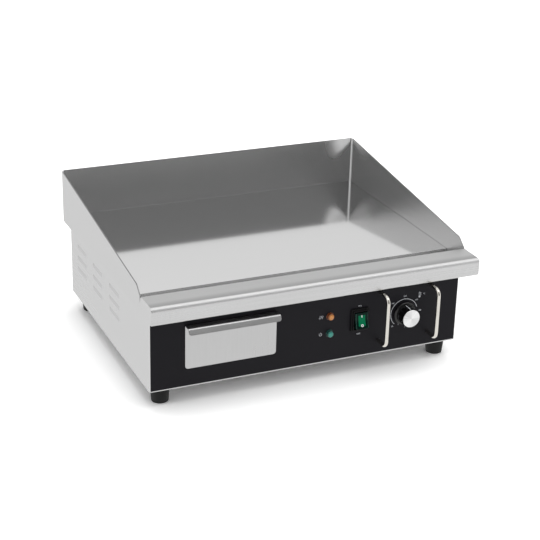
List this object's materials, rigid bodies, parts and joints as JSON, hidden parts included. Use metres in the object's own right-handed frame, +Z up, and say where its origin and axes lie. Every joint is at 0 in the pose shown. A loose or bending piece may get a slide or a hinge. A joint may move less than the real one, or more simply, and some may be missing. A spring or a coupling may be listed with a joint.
{
  "type": "electric griddle",
  "caption": "Countertop electric griddle: polished steel plate in a sloping splash guard over a steel casing with a grease drawer, rocker switch, indicator lamps and a guarded thermostat knob.",
  "frame": {"origin": "centre of the bounding box's bottom face, at the level the feet stand on", "axes": "+X to the operator's right along the control panel, +Y to the back, +Z up"},
  "size_m": [0.55, 0.481, 0.229],
  "materials": {
    "amber_lens": "translucent amber",
    "black_panel": "satin black",
    "black_plastic": "moulded, semi-gloss",
    "black_rubber": "moulded, matt",
    "brass": "turned",
    "bright_rod": "polished round bar",
    "brushed_steel": "stainless sheet, grained front to back or along the width",
    "ceramic": "unglazed steatite",
    "copper": "drawn copper tube",
    "element_sheath": "heat-tinted sheath",
    "green_lens": "translucent green",
    "green_rocker": "translucent green, polished",
    "live_wire": "silicone sleeve, brown",
    "mineral_wool": "loose mat",
    "neutral_wire": "silicone sleeve, blue",
    "plate_steel": "ground and polished to a mirror",
    "spun_aluminium": "turned face with fine rings",
    "zinc_steel": "zinc-plated sheet or fastener"
  },
  "bodies": {
    "griddle": {"back_panel": "brushed_steel", "base_plate": "zinc_steel", "cable_gland": "black_plastic", "cable_gland_nut": "black_plastic", "capillary_tube": "copper", "clamp_bar_front": "zinc_steel", "clamp_bar_rear": "zinc_steel", "clamp_nut_1": "zinc_steel", "clamp_nut_2": "zinc_steel", "clamp_nut_3": "zinc_steel", "clamp_nut_4": "zinc_steel", "control_panel": "black_panel", "drain_spout": "brushed_steel", "drawer_housing": "zinc_steel", "earth_stud": "brass", "foot_front_left": "black_rubber", "foot_front_right": "black_rubber", "foot_rear_left": "black_rubber", "foot_rear_right": "black_rubber", "foot_screw_front_left": "zinc_steel", "foot_screw_front_right": "zinc_steel", "foot_screw_rear_left": "zinc_steel", "foot_screw_rear_right": "zinc_steel", "front_ledge": "brushed_steel", "grease_gutter": "brushed_steel", "griddle_plate": "plate_steel", "guard_left": "bright_rod", "guard_nut_left_lower": "zinc_steel", "guard_nut_left_upper": "zinc_steel", "guard_nut_right_lower": "zinc_steel", "guard_nut_right_upper": "zinc_steel", "guard_right": "bright_rod", "heat_lamp_body": "black_plastic", "heat_lamp_lens": "amber_lens", "heat_shield": "zinc_steel", "heating_element_left": "element_sheath", "heating_element_right": "element_sheath", "insulation_mat": "mineral_wool", "left_side_panel": "brushed_steel", "power_lamp_body": "black_plastic", "power_lamp_lens": "green_lens", "right_side_panel": "brushed_steel", "sensor_bulb": "zinc_steel", "splash_guard": "brushed_steel", "switch_body": "black_plastic", "switch_frame": "black_plastic", "terminal_block": "ceramic", "thermostat_body": "zinc_steel", "thermostat_screw_left": "zinc_steel", "thermostat_screw_right": "zinc_steel", "wire_supply_to_element": "neutral_wire", "wire_supply_to_switch": "live_wire", "wire_switch_to_thermostat": "live_wire", "wire_thermostat_to_element": "live_wire"},
    "drawer": {"drawer_front": "brushed_steel", "drawer_tray": "brushed_steel"},
    "rocker": {"switch_rocker": "green_rocker"},
    "knob": {"knob_body": "black_plastic", "knob_cap": "spun_aluminium", "thermostat_shaft": "brushed_steel"}
  },
  "joints": [
    {"name": "drawer_slide", "type": "slide", "parent": "griddle", "child": "drawer", "axis": [0, -1, 0], "range_m": [0, 0.09]},
    {"name": "rocker_tilt", "type": "hinge", "parent": "griddle", "child": "rocker", "pos_m": [0.0686, -0.2125, 0.0922], "axis": [1, 0, 0], "range_deg": [0, 26]},
    {"name": "knob_turn", "type": "hinge", "parent": "griddle", "child": "knob", "pos_m": [0.1475, -0.2095, 0.0905], "axis": [0, 1, 0], "range_deg": [-181, 95]}
  ]
}
